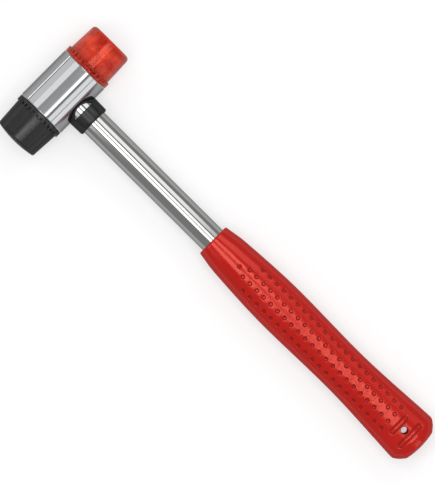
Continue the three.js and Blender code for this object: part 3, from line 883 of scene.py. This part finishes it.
def curveThrough(pairs, place):
    # smooth curve through (place, value) pairs that never swings past one
    last = len(pairs) - 1

    def rise(k):
        return (pairs[k + 1][1] - pairs[k][1]) / (pairs[k + 1][0] - pairs[k][0])

    def slope(k):
        if k in (0, last):
            return rise(0 if k == 0 else last - 1)
        before, after = rise(k - 1), rise(k)
        return 0 if before * after <= 0 else 2 * before * after / (before + after)

    k = 0
    while k < last - 1 and place > pairs[k + 1][0]:
        k += 1
    span = pairs[k + 1][0] - pairs[k][0]
    t = (place - pairs[k][0]) / span
    ends = t * (1 - t) * span * ((1 - t) * slope(k) - t * slope(k + 1))
    return pairs[k][1] * (1 - eased(t)) + pairs[k + 1][1] * eased(t) + ends


def gripHalves(place):
    halves = [curveThrough(grip[key], place) / 2 for key in ("widths", "thicknesses")]
    left = max(0, 1 - place / grip["topRound"])
    draw = grip["topRound"] * (1 - sqrt(1 - left * left))
    return halves[0] - draw, halves[1] - draw


def rowAt(place):
    return (place, *gripHalves(place))


firstHalfWidth = gripHalves(dimple["first"])[0]


def gripRoundness(place):
    # near an ellipse at the top, squarer where the hand closes
    share = eased(clamped((place - grip["roundFrom"]) / grip["roundOver"]))
    return grip["topRoundness"] + (grip["roundness"] - grip["topRoundness"]) * share


def gripPoint(x, row, side, lift):
    # plan point (x, row) laid on the oval, lifted along its normal
    place, halfWidth, halfThick = row
    n = gripRoundness(place)
    x *= min(1, halfWidth / firstHalfWidth)
    share = min(1, abs(x) / halfWidth)
    z = halfThick * (1 - share ** n) ** (1 / n)
    outward = (1 if x > 0 else -1) * share ** (n - 1) / halfWidth
    normal = Vector((outward, 0, (z / halfThick) ** (n - 1) / halfThick)).normalized()
    return (x + lift * normal.x, -grip["top"] - place, side * (z + lift * normal.z))


def flankPoints(row):
    # from the front's edge round the +X flank to the back's edge
    place, halfWidth, halfThick = row
    n = gripRoundness(place)
    edge = dimple["columns"] / 2 * dimple["pitch"] * min(1, halfWidth / firstHalfWidth)
    start = asin((edge / halfWidth) ** (n / 2))
    points = []
    for k in range(1, grip["flankSteps"]):
        turn = start + (pi - 2 * start) * k / grip["flankSteps"]
        z = (1 if cos(turn) > 0 else -1) * abs(cos(turn)) ** (2 / n)
        points.append((halfWidth * sin(turn) ** (2 / n), -grip["top"] - place, halfThick * z))
    return points


def ribLift(x, place):
    # height of the two ribs, with a shallow groove round each
    lift = 0
    for length, sign in zip(rib["lengths"], (-1, 1)):
        reach = length / 2 - rib["half"]
        across = place - hang["place"] - sign * rib["offset"]
        beyond = max(0, abs(x) - reach)
        away = sqrt(beyond ** 2 + across ** 2) / rib["half"]
        aside = (away - 1) * rib["half"] / rib["grooveWidth"]
        if away < 1:
            lift += rib["height"] * (1 - away ** 4) ** 0.5
        elif aside < 1:
            lift -= rib["groove"] * sin(aside * pi)
    return lift


# share of painted shade in a rib's groove, by how deep it sinks
def sunkShare(lift):
    return max(0, -rib["paintedShade"] * lift / rib["groove"])


def buttRows():
    # outline of the chamfered and crowned butt, rounded at its corners
    shoulder, depth = grip["shoulder"], grip["chamferDepth"]
    wide, thick = gripHalves(shoulder)
    tip = wide - depth
    before = shoulder - grip["shoulderRun"]
    bulge = grip["bulge"] * sqrt(0.5)
    corners = [(before, gripHalves(before)[0], 0), (shoulder, wide, grip["shoulderRound"]),
               (shoulder + grip["chamferLength"] / 2 + bulge, wide - depth / 2 + bulge, grip["bulgeRound"]),
               (shoulder + grip["chamferLength"], tip, grip["chamferRound"])]
    corners += [(grip["length"] - grip["crown"] * s * s, tip * s, 0) for s in grip["crownShares"]]
    rows = []
    for place, halfWidth in filleted(corners, steps=8, guard=0.2)[1:]:
        share = clamped((wide - halfWidth) / depth)
        halfThick = thick - depth / 2 * (1 - sqrt(1 - share * share))
        if halfWidth < tip:
            halfThick *= halfWidth / tip
        rows.append((place, halfWidth, halfThick))
    return rows


def cellRings(parts, circles):
    # rings of a flat square cell: its outline, and circles of (radius, lift) inside it
    pitch = dimple["pitch"]
    steps = [k / parts - 0.5 for k in range(parts)]
    front = [(s, -0.5) for s in steps] + [(0.5, s) for s in steps]
    square = front + [(-x, -y) for x, y in front]
    rings = [[(x * pitch, y * pitch, 0) for x, y in square]]
    for radius, lift in circles:
        rings.append([(radius * cos(atan2(y, x)), radius * sin(atan2(y, x)), lift) for x, y in square])
    return rings


def dimpleCell():
    # one square cell, pressed in at its middle
    circles = [(dimple["radius"] * wide, -dimple["depth"] * deep) for wide, deep in dimple["rings"]]
    rings = cellRings(grip["split"], circles)
    count = len(rings[0])
    starts = [k * count for k in range(len(rings))]
    faces = stackFaces(starts, count) + [list(range(starts[-1], starts[-1] + count))]
    return rawMesh("cell", [point for ring in rings for point in ring], faces)


def gripStations(g):
    # rows along the grip: coarse ones down to the last dimple, fine ones round the hole and the butt
    pitch, topRound, fineSplit = dimple["pitch"], g["topRound"], g["fineSplit"]
    firstLine = dimple["first"] - pitch / 2
    fineStart = firstLine + dimple["rows"] * pitch + g["fineGap"]
    holeLow, holeHigh = hang["place"] - pitch / 2, hang["place"] + pitch / 2
    fineEnd = hang["place"] + rib["offset"] + rib["half"] + rib["grooveWidth"]
    coarse = [topRound * (1 - cos(k / g["topSteps"] * pi / 2)) for k in range(g["topSteps"] + 1)]
    coarse += between(topRound, firstLine, g["plainRows"])
    coarse += [firstLine + k * pitch / g["split"] for k in range(g["split"] * dimple["rows"] + 1)]
    fine = [fineStart] + between(fineStart, holeLow, g["gapRows"])
    fine += [holeLow + pitch * k / fineSplit for k in range(fineSplit + 1)]
    fine += between(holeHigh, fineEnd, g["plainRows"])
    end = buttRows()
    return [rowAt(p) for p in coarse], [rowAt(p) for p in fine if p < end[0][0]] + end


def takenCells():
    # middles of the cells that the skin leaves open: the dimples and the hang hole
    taken = []
    for k in range(dimple["rows"]):
        count = 1 if k == 0 else min(2 * k, dimple["columns"])
        place = dimple["first"] + k * dimple["pitch"]
        taken += [((i - (count - 1) / 2) * dimple["pitch"], place) for i in range(count)]
    return taken + [(0, hang["place"])]


def makeGrip(g):
    pitch, columns, side = dimple["pitch"], dimple["columns"], g["flankSteps"] - 1
    split, fineSplit = g["split"], g["fineSplit"]
    clear = columns * pitch   # the flanks lie clear of every cell
    taken = takenCells()
    verts, faces, hollow = [], [], []

    def isTaken(x, place):
        return any(abs(x - cx) < pitch / 2 and abs(place - cp) < pitch / 2 for cx, cp in taken)

    def spread(parts):
        return [(i / parts - columns / 2) * pitch for i in range(columns * parts + 1)]

    def addRow(row, parts):
        start = len(verts)
        flank = flankPoints(row)
        lifted = [(x, ribLift(x, row[0]) if parts == fineSplit else 0) for x in spread(parts)]
        verts.extend(gripPoint(x, row, 1, lift) for x, lift in lifted)
        verts.extend(flank)
        verts.extend(gripPoint(x, row, -1, lift) for x, lift in reversed(lifted))
        verts.extend((-x, y, z) for x, y, z in reversed(flank))
        sunk = [sunkShare(lift) for x, lift in lifted]
        hollow.extend(sunk + [0] * side + sunk[::-1] + [0] * side)
        return start

    def addSkin(rows, parts):
        # quads from row to row, left open where a cell lies; hands back where each row starts
        starts = [addRow(row, parts) for row in rows]
        xs = spread(parts)
        middles = [(one + two) / 2 for one, two in zip(xs, xs[1:])] + [clear] * (side + 1)
        middles += [-x for x in middles]
        for r in range(len(rows) - 1):
            place = (rows[r][0] + rows[r + 1][0]) / 2
            for i, x in enumerate(middles):
                if not isTaken(x, place):
                    j = (i + 1) % len(middles)
                    faces.append([starts[r] + i, starts[r] + j, starts[r + 1] + j, starts[r + 1] + i])
        return starts

    coarseRows, fineRows = gripStations(g)
    coarse, fine = addSkin(coarseRows, split), addSkin(fineRows, fineSplit)
    # the row where each wide column splits into narrow ones; match is the fine point under each coarse one
    coarseCount, fineCount = (2 * (columns * parts + 1 + side) for parts in (split, fineSplit))
    match = [i * fineSplit // split for i in range(columns * split + 1)]
    match += [match[-1] + k for k in range(1, side + 1)]
    match += [fineCount // 2 + k for k in match] + [fineCount]
    for i in range(coarseCount):
        under = [fine[0] + k % fineCount for k in range(match[i + 1], match[i] - 1, -1)]
        faces.append([coarse[-1] + i, coarse[-1] + (i + 1) % coarseCount] + under)
    # crowned end closes in a point
    verts.append((0, -g["top"] - g["length"], 0))
    faces.extend([fine[-1] + i, fine[-1] + (i + 1) % fineCount, len(verts) - 1] for i in range(fineCount))
    # top ring, bore and its flat end
    turns = [atan2(x, z) for x, y, z in verts[coarse[0]:coarse[0] + coarseCount]]
    levels = [coarse[0]]
    edge = g["boreEdge"]
    for depth, radius in ((0.0, g["bore"] + edge), (edge, g["bore"]), (g["boreDepth"], g["bore"])):
        levels.append(len(verts))
        verts.extend((radius * sin(turn), -g["top"] - depth, radius * cos(turn)) for turn in turns)
    faces += stackFaces(levels, coarseCount) + [list(range(levels[-1], len(verts)))]
    hollow += [0.0] * (len(verts) - len(hollow))
    # dimple cells wrapped on both sides
    cells = runNodes(dimpleCell(), dimplePlan, {
        "Pitch": pitch, "Rows": dimple["rows"], "Columns": columns, "Finish": redVinyl})
    for sideSign in (1, -1):
        offset = len(verts)
        for vertex in cells.vertices:
            row = rowAt(dimple["first"] + vertex.co.y)
            verts.append(gripPoint(vertex.co.x, row, sideSign, vertex.co.z))
            # hollow marks each dimple's depth, which the finish turns into painted shade
            hollow.append(-vertex.co.z / dimple["depth"])
        faces.extend([offset + i for i in poly.vertices] for poly in cells.polygons)
    # hang hole: a square cell with a round lip on both sides, and the wall between them
    rings = cellRings(fineSplit, [(hang["radius"] + lip, lift) for lip, lift in hang["lip"]])
    sides = []
    for sideSign in (1, -1):
        starts = []
        for ring in rings:
            starts.append(len(verts))
            for x, y, lift in ring:
                dip = ribLift(x, hang["place"] + y)
                verts.append(gripPoint(x, rowAt(hang["place"] + y), sideSign, lift + dip))
                hollow.append(sunkShare(dip))
        sides.append(starts)
    faces += stackFaces(sides[0] + sides[1][::-1], len(rings[0]))
    mesh = makeMesh("grip", verts, faces, weld=g["weld"], marks={"hollow": hollow})
    return settle("gripSleeve", mesh, redVinyl, "hammer_body", "grip_vinyl", "grip", sharp=55)


makeGrip(grip)


# floor, light and camera

floorLook = dict(size=6.0, colour=(0.5, 0.5, 0.5, 1), glow=0.5)


def makeFloor(look):
    half = look["size"] / 2
    corners = [(-half, -half, 0), (half, -half, 0), (half, half, 0), (-half, half, 0)]
    mesh = rawMesh("floor", corners, [[0, 1, 2, 3]])
    material = bpy.data.materials.new("paleFloor")
    material.use_nodes = True
    tree = material.node_tree
    tree.nodes.clear()
    path = put(tree, "ShaderNodeLightPath", out=None).outputs
    seen = path["Is Camera Ray"]
    for label in ("Is Glossy Ray", "Is Transmission Ray"):
        seen = calc(tree, "MAXIMUM", seen, path[label])
    matt = put(tree, "ShaderNodeBsdfDiffuse", {"Color": look["colour"]})
    glow = put(tree, "ShaderNodeEmission", {"Strength": product(tree, seen, look["glow"])})
    both = put(tree, "ShaderNodeAddShader", {0: matt, 1: glow})
    put(tree, "ShaderNodeOutputMaterial", {"Surface": both}, out=None)
    mesh.materials.append(material)
    addObject("floor", mesh)


# place, size and radiance of each lamp
lamps = dict(
    overLeft=((-0.2205, 0.115, 0.86), (0.279, 0.29), 4.6),
    overRight=((0.168, 0.115, 0.86), (0.204, 0.29), 4.6),
    overCentre=((-0.0075, 0.10, 0.87), (0.15, 0.90), 0.32),
    gripLeft=((-0.12, -0.075, 0.86), (0.05, 0.09), 5.2),
    gripRight=((0.155, -0.075, 0.86), (0.07, 0.09), 5.2),
    gripBetween=((0.0125, -0.075, 0.86), (0.215, 0.09), 0.6),
    gripLower=((0.0225, -0.20, 0.86), (0.335, 0.16), 4.3),
    keyTube=((0.65, 0.185, 0.67), (0.46, 0.31), 2.1),
    keyGrip=((0.65, -0.15, 0.67), (0.46, 0.36), 0.7),
    fillSide=((-0.64, 0.27, 0.68), (0.42, 0.26), 1.5),
    headSide=((0.0, 0.70, 0.76), (0.22, 0.44), 1.65),
    headLow=((0.0, 1.026, 0.42), (0.22, 0.50), 1.05),
    headLine=((0.0, 1.25, 0.05), (0.22, 0.07), 4.0),
    buttHigh=((0.0, -0.566, 0.662), (0.22, 0.32), 1.65),
    buttLow=((0.0, -0.784, 0.34), (0.22, 0.37), 1.65),
)
aim = dict(height=0.015, tiltedBeyond=0.4)


def towardsHammer(place):
    # lamps far to a side tilt about one axis, so their long sides stay along X or Y
    tilt = Vector((0, 0, aim["height"])) - place
    if max(abs(place.x), abs(place.y)) <= aim["tiltedBeyond"]:
        return (0, 0, 0)
    if abs(place.x) > abs(place.y):
        return (0, atan2(-tilt.x, -tilt.z), 0)
    return (atan2(tilt.y, -tilt.z), 0, 0)


def makeLamps(plan):
    for name, (place, size, radiance) in plan.items():
        light = bpy.data.lights.new(name, "AREA")
        light.shape = "RECTANGLE"
        light.size, light.size_y = size
        light.energy = pi * radiance * size[0] * size[1]
        lampObject = addObject(name, light)
        lampObject.location = Vector(place)
        lampObject.rotation_euler = towardsHammer(lampObject.location)
        lampObject.visible_camera = False


studio = dict(level=0.5)


def makeWorld(s):
    world = bpy.data.worlds.new("studio")
    world.use_nodes = True
    background = world.node_tree.nodes["Background"].inputs
    background["Color"].default_value = (s["level"], s["level"], s["level"], 1)
    scene.world = world


view = dict(x=-0.00103, y=0.0102, height=2.415, turn=-45.2, sensor=36, frameHeight=0.269, focusHeight=0.015)


def makeCamera(v):
    camera = bpy.data.cameras.new("camera")
    camera.sensor_width = v["sensor"]
    camera.lens = v["sensor"] * (v["height"] - v["focusHeight"]) / v["frameHeight"]
    cameraObject = addObject("camera", camera)
    cameraObject.location = (v["x"], v["y"], v["height"])
    cameraObject.rotation_euler = (0, 0, radians(v["turn"]))
    scene.camera = cameraObject


makeFloor(floorLook)
makeLamps(lamps)
makeWorld(studio)
makeCamera(view)
print("stage ready")
